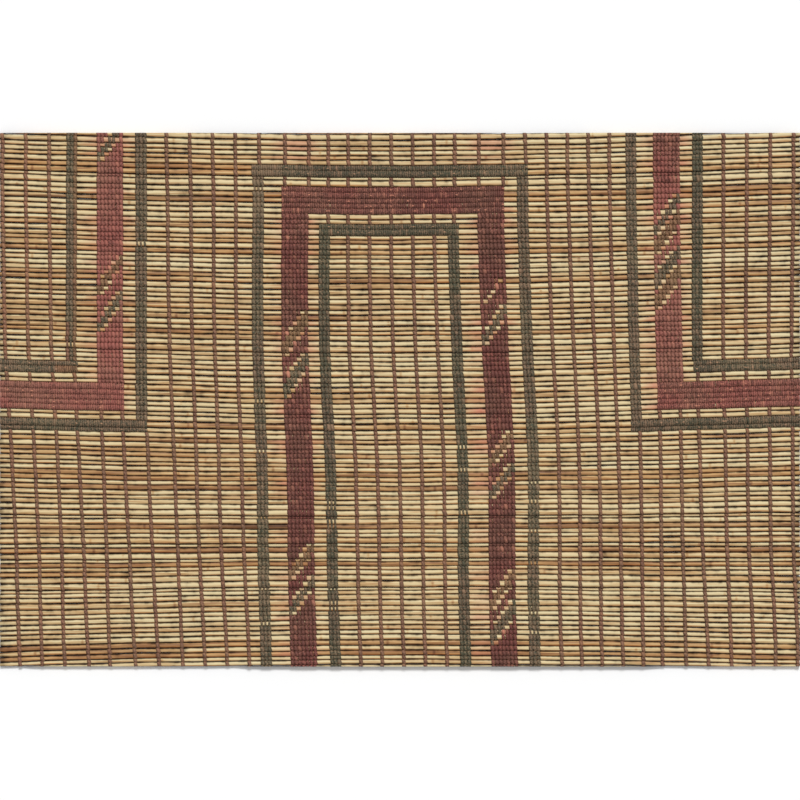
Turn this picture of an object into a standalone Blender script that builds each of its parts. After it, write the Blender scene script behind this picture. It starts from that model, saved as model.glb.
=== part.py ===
"""A cut length of a reed mat: whole grass stems side by side, bound by leather laces and leather bands.

The stems run along X and lie next to each other down the mat, towards -Y. Narrow laces cross them
every 17 mm or so, over the face and back under the mat. Nested bands of green and red leather
make an arch in the middle and a corner on either side.
Units are metres and +Z is up. The origin is under the middle of the mat, on its resting face.
"""

import math

import bmesh
import bpy

MM = 0.001

# Driving dimensions
MAT_WIDTH = 600 * MM
MAT_LENGTH = 400 * MM
REED_PITCH = 3.85 * MM
REED_THICKNESS = 3.1 * MM
FURROW_THICKNESS = 1.0 * MM
LACE_WIDTH = 3.4 * MM
LACE_THICKNESS = 0.5 * MM
BAND_THICKNESS = 1.2 * MM
CLEARANCE = 0.3 * MM

# The stems sag towards the foot of the mat in its upper part and bow the other way near the foot.
SAG_UPPER = 6.2 * MM
SAG_FOOT = -4.2 * MM
SAG_TURNS_FROM = 200 * MM
SAG_TURNS_OVER = 190 * MM
RIGHT_END_RISE = 1.6 * MM

# Rows are counted from the upper edge. The first and last ones are sliced by the mat's cut edges.
FIRST_ROW = -2
LAST_ROW = 105
REED_STATIONS = 5

# A stem's half profile: (distance from its middle line, share of its full half thickness)
REED_PROFILE = ((-0.5 * REED_PITCH, FURROW_THICKNESS / REED_THICKNESS), (-1.05 * MM, 0.78), (0.0, 1.0), (1.05 * MM, 0.78))

# The laces and legs drift to the right on their way down, faster towards the foot.
LEAN_POWER = 1.5
LACE_STATIONS = 4
LEG_STATIONS = 3
BAR_STATIONS = 3

HALF_REED = 0.5 * REED_THICKNESS
LEATHER_INNER = HALF_REED + CLEARANCE
MID_HEIGHT = LEATHER_INNER + BAND_THICKNESS

# Laces, in mm from the left edge: x of the first and last at their upper end, the same at their
# lower end, how many, and the rows between which they run (None is the mat's edge).
LACES = (
    # first, last, first_foot, last_foot, count, from_row, to_row
    (1.9, 36.8, 14.2, 47.8, 3, None, None),
    (56.6, 56.6, 65.9, 65.9, 1, 46, None),
    (75.8, 91.5, 81.8, 101.0, 2, 53, None),
    (109.9, 109.9, 118.6, 118.6, 1, 57, None),
    (124.5, 175.5, 136.4, 186.6, 4, None, None),
    (193.5, 193.5, 193.5, 193.5, 1, None, 5),
    (213.0, 231.0, 213.0, 231.0, 2, None, 9),
    (246.0, 246.0, 245.5, 245.5, 1, None, 16),
    (260.3, 324.8, 270.5, 335.0, 5, None, None),
    (340.5, 340.5, 340.5, 340.5, 1, None, 16),
    (358.5, 377.0, 358.5, 377.0, 2, None, 9),
    (394.0, 394.0, 393.0, 393.0, 1, None, 5),
    (409.5, 456.8, 421.4, 467.8, 4, None, None),
    (479.6, 479.6, 482.7, 482.7, 1, 57, None),
    (495.0, 510.8, 497.0, 514.5, 2, 53, None),
    (524.3, 524.3, 531.3, 531.3, 1, 46, None),
    (542.3, 594.8, 548.2, 597.8, 4, None, None),
)

# Bands, in mm from the left edge: the middle of each leg at its upper and lower end, the leg's
# width, and the first and last row under the bar. An arch has two legs, down to the mat's foot.
# A corner has one leg, up to the mat's head, and its bar runs to the left or the right edge.
ARCHES = (
    # name, left_top, left_foot, right_top, right_foot, width, first_row, last_row, colour
    ("arch_outer", 193.0, 199.5, 391.5, 401.0, 8.4, 5, 6, "green"),
    ("arch_red", 221.3, 227.8, 368.0, 378.0, 20.0, 9, 13, "red"),
    ("arch_inner", 243.4, 251.6, 340.0, 349.0, 8.0, 16, 17, "green"),
)
CORNERS = (
    # name, side, leg_top, leg_foot, width, first_row, last_row, colour
    ("left_outer", -1, 105.8, 106.2, 8.6, 55, 56, "green"),
    ("left_red", -1, 82.5, 83.3, 19.6, 48, 52, "red"),
    ("left_inner", -1, 54.0, 54.4, 7.8, 44, 45, "green"),
    ("right_outer", 1, 472.9, 477.0, 7.6, 55, 56, "green"),
    ("right_red", 1, 499.5, 503.0, 20.0, 48, 52, "red"),
    ("right_inner", 1, 522.8, 523.9, 7.6, 44, 45, "green"),
)

# Colour, roughness
FINISHES = {
    "straw": ((0.56, 0.42, 0.24, 1.0), 0.55),
    "lace": ((0.19, 0.10, 0.08, 1.0), 0.7),
    "green": ((0.11, 0.10, 0.06, 1.0), 0.7),
    "red": ((0.20, 0.06, 0.05, 1.0), 0.7),
}


def clear_scene():
    for leftover in list(bpy.data.objects):
        bpy.data.objects.remove(leftover, do_unlink=True)


def make_material(name):
    colour, roughness = FINISHES[name]
    material = bpy.data.materials.new(name)
    material.use_nodes = True
    shader = material.node_tree.nodes["Principled BSDF"]
    shader.inputs["Base Color"].default_value = colour
    shader.inputs["Roughness"].default_value = roughness
    shader.inputs["Metallic"].default_value = 0.0
    return material


def add_object(name, shape, material=None):
    """Turns a bmesh into an object at the origin, with its faces pointing out."""
    bmesh.ops.recalc_face_normals(shape, faces=shape.faces)
    mesh = bpy.data.meshes.new(name)
    shape.to_mesh(mesh)
    shape.free()
    if material:
        mesh.materials.append(material)
    made = bpy.data.objects.new(name, mesh)
    bpy.context.scene.collection.objects.link(made)
    return made


def sag_at(down):
    """How far the stems hang below a straight line in the mat's middle, at this distance from its head."""
    share = min(1.0, max(0.0, (down - SAG_TURNS_FROM) / SAG_TURNS_OVER))
    smooth = share * share * (3 - 2 * share)
    return SAG_UPPER + (SAG_FOOT - SAG_UPPER) * smooth


def drift(across, down):
    """Shift of a stem towards the foot, at a distance across from the left edge."""
    along = across / MAT_WIDTH
    return sag_at(down) * math.sin(math.pi * along) - RIGHT_END_RISE * along


def place(across, down):
    """(x, y) of a point given from the mat's upper left corner."""
    return across - 0.5 * MAT_WIDTH, 0.5 * MAT_LENGTH - down


def reed_field():
    """One ribbed sheet, a rib for each stem, sliced straight along the mat's head and foot."""
    shape = bmesh.new()
    profile = [
        (row * REED_PITCH + 0.5 * REED_PITCH + offset, HALF_REED * share)
        for row in range(FIRST_ROW, LAST_ROW + 1)
        for offset, share in REED_PROFILE
    ]
    profile.append(((LAST_ROW + 1) * REED_PITCH, 0.5 * FURROW_THICKNESS))
    faces_up = []
    faces_down = []
    for station in range(REED_STATIONS):
        across = MAT_WIDTH * station / (REED_STATIONS - 1)
        up = []
        down_side = []
        for down, height in profile:
            x, y = place(across, down + drift(across, down))
            up.append(shape.verts.new((x, y, MID_HEIGHT + height)))
            down_side.append(shape.verts.new((x, y, MID_HEIGHT - height)))
        faces_up.append(up)
        faces_down.append(down_side)
    for rows in (faces_up, faces_down):
        for this, following in zip(rows, rows[1:]):
            for step in range(len(this) - 1):
                shape.faces.new((this[step], following[step], following[step + 1], this[step + 1]))
    for end in (0, -1):
        for step in range(len(profile) - 1):
            upper, lower = faces_up[end], faces_down[end]
            shape.faces.new((upper[step], upper[step + 1], lower[step + 1], lower[step]))
    for side in (0, -1):
        for station in range(REED_STATIONS - 1):
            corners = (faces_up[station][side], faces_up[station + 1][side])
            shape.faces.new(corners + (faces_down[station + 1][side], faces_down[station][side]))
    for facing in (1, -1):
        slice_edge(shape, facing)
    return shape


def slice_edge(shape, facing):
    """Cuts the sheet off square at its head (facing 1) or foot (facing -1) and closes the cut."""
    cut = bmesh.ops.bisect_plane(
        shape,
        geom=shape.verts[:] + shape.edges[:] + shape.faces[:],
        dist=0.02 * MM,
        plane_co=(0, facing * 0.5 * MAT_LENGTH, 0),
        plane_no=(0, facing, 0),
        clear_outer=True,
    )
    edges = [item for item in cut["geom_cut"] if isinstance(item, bmesh.types.BMEdge)]
    bmesh.ops.contextual_create(shape, geom=edges)


def leaning(top, foot, start, end, down):
    """Distance from the left edge of a lace or leg that runs from start to end, at a height down."""
    share = (down - start) / (end - start)
    return top + (foot - top) * max(0.0, share) ** LEAN_POWER


def strip_stations(top, foot, start, end, width, count):
    """Pairs of edge points down a strip, from start to end below the mat's head."""
    stations = []
    for index in range(count):
        down = start + (end - start) * index / (count - 1)
        middle = leaning(top, foot, start, end, down)
        stations.append(((middle - 0.5 * width, down), (middle + 0.5 * width, down)))
    return stations


def ring(pair, side, inner, outer, edge=0):
    """Four corners of a strap's section. edge -1 or 1 is a corner folded round the mat's head or foot."""
    reach = {-1: -CLEARANCE, 0: 0.0, 1: CLEARANCE}[edge]
    fold = edge * (outer - inner)
    corners = []
    for (across, down), height, extra in (
        (pair[0], inner, reach),
        (pair[1], inner, reach),
        (pair[1], outer, reach + fold),
        (pair[0], outer, reach + fold),
    ):
        x, y = place(across, down + extra)
        corners.append((x, y, MID_HEIGHT + side * height))
    return corners


def add_strap(shape, stations, inner, outer, fold_first=0, fold_last=0):
    """A flat strap over the mat and the same under it, in one piece, joined round the folded ends.

    fold_first and fold_last say which edge the strap's ends fold round: -1 head, 1 foot, 0 none.
    """
    last = len(stations) - 1
    folds = {0: fold_first, last: fold_last}
    over = [ring(pair, 1, inner, outer, folds.get(i, 0)) for i, pair in enumerate(stations)]
    under = [ring(pair, -1, inner, outer, folds.get(i, 0)) for i, pair in enumerate(stations)]
    if fold_first and fold_last:
        rings, closed = over + under[::-1], True
    elif fold_last:
        rings, closed = over + under[::-1], False
    else:
        rings, closed = over[::-1] + under, False
    made = [[shape.verts.new(corner) for corner in corners] for corners in rings]
    pairs = list(zip(made, made[1:]))
    if closed:
        pairs.append((made[-1], made[0]))
    else:
        shape.faces.new(made[0])
        shape.faces.new(made[-1])
    for this, following in pairs:
        for corner in range(4):
            after = (corner + 1) % 4
            shape.faces.new((this[corner], this[after], following[after], following[corner]))


def lace_runs():
    """(stations, fold at the head, fold at the foot) of each lace, from left to right by group."""
    for first, last, first_foot, last_foot, count, from_row, to_row in LACES:
        for index in range(count):
            share = index / (count - 1) if count > 1 else 0.0
            top = (first + (last - first) * share) * MM
            foot = (first_foot + (last_foot - first_foot) * share) * MM
            start = 0.0
            end = MAT_LENGTH
            if from_row is not None:
                start = from_row * REED_PITCH + drift(top, from_row * REED_PITCH) + 2 * CLEARANCE
            if to_row is not None:
                end = to_row * REED_PITCH + drift(foot, to_row * REED_PITCH) - 2 * CLEARANCE
            yield top, foot, start, end, -1 if from_row is None else 0, 1 if to_row is None else 0


def add_laces(material):
    for number, (top, foot, start, end, head, tail) in enumerate(lace_runs(), 1):
        shape = bmesh.new()
        stations = strip_stations(top, foot, start, end, LACE_WIDTH, LACE_STATIONS)
        add_strap(shape, stations, LEATHER_INNER, LEATHER_INNER + LACE_THICKNESS, head, tail)
        add_object(f"lace_{number:02d}", shape, material)


def lace_channels():
    """The space that the laces and their clearance take, cut out of the bands that cross them."""
    shape = bmesh.new()
    for top, foot, start, end, head, tail in lace_runs():
        start -= CLEARANCE if not head else 0.0
        end += CLEARANCE if not tail else 0.0
        stations = strip_stations(top, foot, start, end, LACE_WIDTH + 2 * CLEARANCE, LACE_STATIONS)
        inner = LEATHER_INNER - 0.5 * CLEARANCE
        outer = LEATHER_INNER + LACE_THICKNESS + CLEARANCE
        add_strap(shape, stations, inner, outer, head, tail)
    cutter = add_object("lace_channels", shape)
    cutter.hide_render = True
    cutter.display_type = "WIRE"
    return cutter


def bar_edge(across, row):
    """The point where the line between two rows crosses this distance from the left edge."""
    down = row * REED_PITCH
    return across, down + drift(across, down)


def bar_stations(left, right, upper, lower):
    """Pairs of upper and lower edge points along a bar, between two distances from the left edge."""
    stations = []
    for index in range(1, BAR_STATIONS + 1):
        across = left + (right - left) * index / (BAR_STATIONS + 1)
        stations.append((bar_edge(across, upper), bar_edge(across, lower)))
    return stations


def arch_stations(left_top, left_foot, right_top, right_foot, width, upper, lower):
    """Edge pairs from the left leg's foot, up and over the bar, to the right leg's foot."""
    start = bar_edge(left_top, lower)[1]
    left = strip_stations(left_top, left_foot, start, MAT_LENGTH, width, LEG_STATIONS + 1)
    right = strip_stations(right_top, right_foot, start, MAT_LENGTH, width, LEG_STATIONS + 1)
    outer_left, inner_left = left_top - 0.5 * width, left_top + 0.5 * width
    inner_right, outer_right = right_top - 0.5 * width, right_top + 0.5 * width
    stations = left[:0:-1]
    stations.append((bar_edge(outer_left, upper), bar_edge(inner_left, lower)))
    stations += bar_stations(inner_left, inner_right, upper, lower)
    stations.append((bar_edge(outer_right, upper), bar_edge(inner_right, lower)))
    stations += [(outer, inner) for inner, outer in right[1:]]
    return stations


def corner_stations(side, leg_top, leg_foot, width, upper, lower):
    """Edge pairs from the leg's end at the mat's head, down to the bar and along it to the side edge."""
    inner_edge = leg_foot + side * 0.5 * width
    outer_edge = leg_foot - side * 0.5 * width
    end = bar_edge(leg_foot, upper)[1]
    leg = strip_stations(leg_top, leg_foot, 0.0, end, width, LEG_STATIONS + 1)[:-1]
    stations = [(left, right) if side < 0 else (right, left) for left, right in leg]
    stations.append((bar_edge(inner_edge, upper), bar_edge(outer_edge, lower)))
    mat_side = 0.0 if side < 0 else MAT_WIDTH
    stations += bar_stations(inner_edge, mat_side, upper, lower)
    stations.append((bar_edge(mat_side, upper), bar_edge(mat_side, lower)))
    return stations


def add_band(name, stations, fold_first, fold_last, material, channels):
    shape = bmesh.new()
    add_strap(shape, stations, LEATHER_INNER, LEATHER_INNER + BAND_THICKNESS, fold_first, fold_last)
    band = add_object(f"band_{name}", shape, material)
    cut = band.modifiers.new("lace channels", "BOOLEAN")
    cut.operation = "DIFFERENCE"
    cut.object = channels


def add_bands(materials):
    channels = lace_channels()
    for name, *legs, width, first_row, last_row, colour in ARCHES:
        legs = [value * MM for value in legs]
        stations = arch_stations(*legs, width * MM, first_row, last_row + 1)
        add_band(name, stations, 1, 1, materials[colour], channels)
    for name, side, leg_top, leg_foot, width, first_row, last_row, colour in CORNERS:
        stations = corner_stations(side, leg_top * MM, leg_foot * MM, width * MM, first_row, last_row + 1)
        add_band(name, stations, -1, 0, materials[colour], channels)


def main():
    clear_scene()
    materials = {name: make_material(name) for name in FINISHES}
    add_object("reed_field", reed_field(), materials["straw"])
    add_laces(materials["lace"])
    add_bands(materials)


main()
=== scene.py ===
# %% [markdown]
# # A reed mat bound with leather
# This lesson dresses a cut length of a floor mat. Whole grass stems lie side by side, and pairs of
# leather strips are twined round them: narrow brown laces, and wider bands of green and red leather.
# The solids carry the mat's size, and every piece takes its place from them.

# %% Load the solids
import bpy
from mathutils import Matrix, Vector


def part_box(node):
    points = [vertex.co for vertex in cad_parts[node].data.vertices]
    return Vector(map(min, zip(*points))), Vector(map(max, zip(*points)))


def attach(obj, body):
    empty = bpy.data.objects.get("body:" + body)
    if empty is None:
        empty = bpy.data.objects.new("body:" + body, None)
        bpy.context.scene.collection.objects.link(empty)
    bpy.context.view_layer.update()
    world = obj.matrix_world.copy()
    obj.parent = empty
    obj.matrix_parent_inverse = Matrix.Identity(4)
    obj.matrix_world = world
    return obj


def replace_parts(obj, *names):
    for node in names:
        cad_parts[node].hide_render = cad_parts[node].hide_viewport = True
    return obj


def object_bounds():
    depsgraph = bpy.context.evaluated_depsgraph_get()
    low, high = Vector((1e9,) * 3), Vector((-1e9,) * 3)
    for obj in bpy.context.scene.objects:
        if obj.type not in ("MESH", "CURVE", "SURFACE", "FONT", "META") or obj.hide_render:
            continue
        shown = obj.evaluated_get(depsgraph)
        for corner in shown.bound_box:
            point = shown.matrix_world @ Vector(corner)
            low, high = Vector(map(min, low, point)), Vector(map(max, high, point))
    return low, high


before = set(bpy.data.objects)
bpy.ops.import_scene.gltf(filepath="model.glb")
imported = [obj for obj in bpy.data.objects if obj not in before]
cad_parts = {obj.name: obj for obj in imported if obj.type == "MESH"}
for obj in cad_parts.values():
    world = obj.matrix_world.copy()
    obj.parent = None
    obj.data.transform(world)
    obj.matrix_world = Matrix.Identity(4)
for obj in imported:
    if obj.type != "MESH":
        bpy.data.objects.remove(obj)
solid_low, solid_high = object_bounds()
print("solids:", [round(1000 * side, 1) for side in solid_high - solid_low], "mm")

# %% [markdown]
# ## The mat's measures
# The stems run along X. A point on the mat is given as a distance across, from its left edge, and a
# distance down, from its head, as a maker would measure it. The stems aren't quite straight. They sag
# towards the foot in the upper part and bow the other way lower down, so one function gives that
# drift, and the stems and the leather both ask it where a row lies. That keeps every stitch on its stem.
# Rows differ in thickness, and a small chart adds how far some of them have crept from even spacing.

# %% Width, length and rows
import math

import bmesh
import bpy
import numpy as np

MM = 0.001
field_low, field_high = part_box("reed_field")
MAT_WIDTH = field_high.x - field_low.x
MAT_LENGTH = field_high.y - field_low.y
REED_PITCH = 3.85 * MM
FIRST_ROW = -2
LAST_ROW = 105
SAG_UPPER = 6.2 * MM
SAG_FOOT = -4.2 * MM
SAG_TURNS_FROM = 200 * MM
SAG_TURNS_OVER = 190 * MM
RIGHT_END_RISE = 1.6 * MM
STRIP_THICKNESS = 0.6 * MM
FLOOR_GAP = 0.05 * MM
STEM_ROUNDNESS = 0.88
UNEVENNESS = 0.17
THINNEST_ROW = 0.66
THICKEST_ROW = 1.45
EVENED_OVER = 11
WAVER = 0.28 * MM
FINE_WAVER = 0.14 * MM
# how far rows have crept towards the foot, in rows, at these row numbers
CREEP_AT = (0, 5, 9, 14, 16, 18, 30, 44, 46, 48, 53, 55, 57, 62, 75)
CREEP = (0, 0, 0.15, 0.4, 0.3, 0.28, 0.2, 0.1, 0.55, 0.5, 0.2, 0.3, 0.7, 0.4, 0)
draw = np.random.default_rng(11)


def drift(across, down):
    """How far a stem lies towards the foot of its straight place."""
    share = np.clip((down - SAG_TURNS_FROM) / SAG_TURNS_OVER, 0.0, 1.0)
    sag = SAG_UPPER + (SAG_FOOT - SAG_UPPER) * share * share * (3 - 2 * share)
    return sag * np.sin(math.pi * across / MAT_WIDTH) - RIGHT_END_RISE * across / MAT_WIDTH


def uneven_rows():
    """Edges between the rows, in rows from the head. Thick stems take more room than thin ones."""
    count = LAST_ROW - FIRST_ROW + 1
    room = np.clip(draw.normal(1.0, UNEVENNESS, count), THINNEST_ROW, THICKEST_ROW)
    stray = np.concatenate([[0.0], np.cumsum(room - 1.0)])
    padded = np.pad(stray, EVENED_OVER // 2, mode="edge")
    slow = np.convolve(padded, np.ones(EVENED_OVER) / EVENED_OVER, mode="valid")
    even = FIRST_ROW + np.arange(count + 1)
    return even + stray - slow + np.interp(even, CREEP_AT, CREEP)


ROW_EDGES = uneven_rows()


def room_of(row):
    """How much of the mat's length a row takes, in metres."""
    index = row - FIRST_ROW
    return REED_PITCH * float(ROW_EDGES[index + 1] - ROW_EDGES[index])


def waver(across, down):
    """A slow wander that neighbouring stems share, so that they stay side by side."""
    wave = np.sin(across / (31 * MM) + 2.3 * np.sin(down / (47 * MM))) * np.cos(down / (23 * MM) + 1.0)
    return WAVER * wave + FINE_WAVER * np.sin(across / (11 * MM) - down / (13 * MM))


def row_down(row, across):
    """Distance from the head to the middle of a row of stems."""
    index = row - FIRST_ROW
    down = REED_PITCH * 0.5 * float(ROW_EDGES[index] + ROW_EDGES[index + 1])
    return down + drift(across, down) + waver(across, down)


def half_height(row):
    """Half the thickness of the stem in a row, up and down."""
    return min(2.1 * MM, max(1.3 * MM, 0.5 * STEM_ROUNDNESS * room_of(row)))


def mid_height(row):
    """Height of a stem's middle line. The leather under it lies on the floor."""
    return FLOOR_GAP + STRIP_THICKNESS + half_height(row)


def to_x(across):
    return across - 0.5 * MAT_WIDTH


def to_y(down):
    return 0.5 * MAT_LENGTH - down


rooms = [room_of(row) / MM for row in range(FIRST_ROW, LAST_ROW + 1)]
print("mat", round(MAT_WIDTH / MM), "x", round(MAT_LENGTH / MM), "mm,", len(rooms), "rows")
print("thinnest and thickest row:", round(min(rooms), 2), "and", round(max(rooms), 2), "mm")

# %% [markdown]
# ## Small helpers for node trees
# Shader trees and geometry trees are both built from code here, and a few helpers keep that readable.
# The main one adds a node with its settings and inputs. An input may be a plain value or the output of
# another node, and feed tells them apart.

# %% Node helpers


def feed(tree, socket, value):
    if isinstance(value, bpy.types.NodeSocket):
        tree.links.new(value, socket)
    else:
        socket.default_value = value


def add_node(tree, kind, inputs=None, **settings):
    made = tree.nodes.new(kind)
    for name, value in settings.items():
        setattr(made, name, value)
    for name, value in (inputs or {}).items():
        named = [socket for socket in made.inputs if socket.name == name and socket.enabled]
        feed(tree, named[0] if named else made.inputs[name], value)
    return made


def calc(tree, operation, *values):
    made = add_node(tree, "ShaderNodeMath", dict(enumerate(values)), operation=operation)
    return made.outputs[0]


def times(tree, first, second):
    return calc(tree, "MULTIPLY", first, second)


def swing(tree, value, reach):
    """Turns a pattern that runs from 0 to 1 into one that swings about zero, with the given reach."""
    return times(tree, calc(tree, "SUBTRACT", value, 0.5), reach)


def remap(tree, value, low, high, new_low=0.0, new_high=1.0):
    """Brings a value that runs from low to high into a new range, with soft ends."""
    made = add_node(tree, "ShaderNodeMapRange", {0: value, 1: low, 2: high, 3: new_low, 4: new_high})
    made.interpolation_type = "SMOOTHSTEP"
    return made.outputs[0]


def mix_colour(tree, factor, first, second, blend="MIX"):
    made = add_node(tree, "ShaderNodeMix", data_type="RGBA", blend_type=blend)
    for index, value in ((0, factor), (6, first), (7, second)):
        feed(tree, made.inputs[index], value)
    return made.outputs[2]


def object_place(tree):
    return add_node(tree, "ShaderNodeTexCoord").outputs["Object"]


def read_number(tree, name):
    """A number that the mesh carries, for a shader."""
    return add_node(tree, "ShaderNodeAttribute", attribute_name=name).outputs["Fac"]


def stored(tree, name, kind="FLOAT"):
    """A number or vector that the mesh carries, for a geometry tree."""
    return add_node(tree, "GeometryNodeInputNamedAttribute", {"Name": name}, data_type=kind).outputs[0]


def split(tree, kind):
    """X, Y and Z of a geometry input, such as the position or the normal."""
    return add_node(tree, "ShaderNodeSeparateXYZ", {0: add_node(tree, kind).outputs[0]}).outputs


def new_group(name, kind, inputs, outputs):
    """A node group with named sockets. Returns the tree, its input node and its output node."""
    tree = bpy.data.node_groups.new(name, kind)
    for label, socket_type, default in inputs:
        socket = tree.interface.new_socket(label, in_out="INPUT", socket_type="NodeSocket" + socket_type)
        if default is not None:
            socket.default_value = default
    for label, socket_type in outputs:
        tree.interface.new_socket(label, in_out="OUTPUT", socket_type="NodeSocket" + socket_type)
    return tree, tree.nodes.new("NodeGroupInput"), tree.nodes.new("NodeGroupOutput")


def new_material(name):
    """A material, its node tree and its shader."""
    material = bpy.data.materials.new(name)
    material.use_nodes = True
    return material, material.node_tree, material.node_tree.nodes["Principled BSDF"]


def add_object(name, data):
    made = bpy.data.objects.new(name, data)
    bpy.context.scene.collection.objects.link(made)
    return made


print("helpers ready")

# %% [markdown]
# ## Effects that several finishes share
# Three effects make the finishes: the long fibres of the straw, and the dirt and painted shade in the
# furrows and the fine grain that straw and leather share. Each is one shader group with named inputs. A
# finish gives it a scale of its own. The patterns read object coordinates, so they stay put when the camera
# moves.

# %% Long fibres


def use_group(tree, group, inputs):
    made = add_node(tree, "ShaderNodeGroup", node_tree=group)
    for name, value in inputs.items():
        feed(tree, made.inputs[name], value)
    return made


def shader_group(name, inputs, outputs):
    """A shader group whose inputs and outputs are plain numbers."""
    sockets = [(label, "Float", None) for label in inputs]
    return new_group(name, "ShaderNodeTree", sockets, [(label, "Float") for label in outputs])


def long_fibres():
    """Streaks along X. Along and Across are the pattern's scales, Shift sets one stem off another."""
    tree, given, result = shader_group("long_fibres", ("Along", "Across", "Shift"), ["Streak"])
    along, across, shift = given.outputs[:3]
    scale = add_node(tree, "ShaderNodeCombineXYZ", {0: along, 1: across, 2: across}).outputs[0]
    factors = {0: object_place(tree), 1: scale}
    stretched = add_node(tree, "ShaderNodeVectorMath", factors, operation="MULTIPLY").outputs[0]
    pattern = {"Vector": stretched, "W": shift, "Scale": 1.0, "Detail": 3.0, "Roughness": 0.6}
    noise = add_node(tree, "ShaderNodeTexNoise", pattern, noise_dimensions="4D")
    tree.links.new(remap(tree, noise.outputs[0], 0.3, 0.7), result.inputs[0])
    return tree


FIBRES = long_fibres()
print("group:", FIBRES.name)

# %% Dirt and painted shade in the furrows


def furrow_dirt_and_shade():
    """A mask of dirt and painted shade: 1 deep between the stems and 0 on their backs, read from the mesh's
    crown.
    """
    tree, given, result = shader_group("furrow_dirt_and_shade", ("Clear From", "Patchy"), ["Dirt"])
    clear_from, patchy = given.outputs[:2]
    pattern = {"Vector": object_place(tree), "Scale": 160.0, "Detail": 3.0}
    noise = add_node(tree, "ShaderNodeTexNoise", pattern)
    clear_share = calc(tree, "DIVIDE", read_number(tree, "crown"), clear_from)
    share = calc(tree, "ADD", clear_share, swing(tree, noise.outputs[0], patchy))
    tree.links.new(remap(tree, share, 0.36, 1.0, 1.0, 0.0), result.inputs[0])
    return tree


DIRT_AND_SHADE = furrow_dirt_and_shade()
print("group:", DIRT_AND_SHADE.name)

# %% Fine grain
MOTTLE_SCALE = 0.34


def fine_grain():
    """Small pits and pores. Height is for a bump, Mottle for colour."""
    tree, given, result = shader_group("fine_grain", ("Scale", "Pits"), ["Height", "Mottle"])
    scale, pits = given.outputs[:2]
    place = object_place(tree)
    cells = add_node(tree, "ShaderNodeTexVoronoi", {"Vector": place, "Scale": scale})
    noise = add_node(tree, "ShaderNodeTexNoise", {"Vector": place, "Scale": scale, "Detail": 4.0})
    pitted = times(tree, cells.outputs["Distance"], pits)
    tree.links.new(calc(tree, "ADD", pitted, noise.outputs[0]), result.inputs[0])
    coarse = times(tree, scale, MOTTLE_SCALE)
    pattern = {"Vector": place, "Scale": coarse, "Detail": 5.0, "Roughness": 0.65}
    mottle = add_node(tree, "ShaderNodeTexNoise", pattern)
    tree.links.new(remap(tree, mottle.outputs[0], 0.32, 0.68), result.inputs[1])
    return tree


GRAIN = fine_grain()
print("group:", GRAIN.name)

# %% [markdown]
# ## The straw finish
# A dry grass stem is glossy pale straw at best, and many are tan, orange brown or pinkish. It is
# streaked along its length. Its side to the foot, away from the key light, is tinted browner as painted
# shade, and the furrows are painted near black, for dirt and for the shade between the stems. Every stem
# carries a few numbers in its mesh: its tone, its warmth and how much red it has taken from the
# leather beside it. The finish reads them, so neighbours differ.

# %% Straw
STRAW_COLOURS = (
    # tone, colour
    (0.0, (0.10, 0.039, 0.013, 1)),
    (0.3, (0.30, 0.157, 0.066, 1)),
    (0.55, (0.505, 0.336, 0.151, 1)),
    (0.8, (0.65, 0.550, 0.322, 1)),
)
WARM_TINT = (0.94, 0.71, 0.50, 1)
# painted shade: a browner tint on each stem's side to the foot, which faces away from the key light
FOOT_SIDE_SHADE_TINT = (0.80, 0.50, 0.33, 1)
LEATHER_STAIN = (0.52, 0.18, 0.11, 1)
# near black, painted into the furrows between the stems: dirt and painted shade
FURROW_SOIL_AND_SHADE = (0.014, 0.004, 0.001, 1)


def connect(tree, shader, colour, rough, relief):
    """Links the colour, the roughness and a bump to the shader of a finish."""
    bump = add_node(tree, "ShaderNodeBump", relief)
    for name, value in (("Base Color", colour), ("Roughness", rough), ("Normal", bump.outputs[0])):
        tree.links.new(value, shader.inputs[name])
    shader.inputs["Specular IOR Level"].default_value = 0.3


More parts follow.
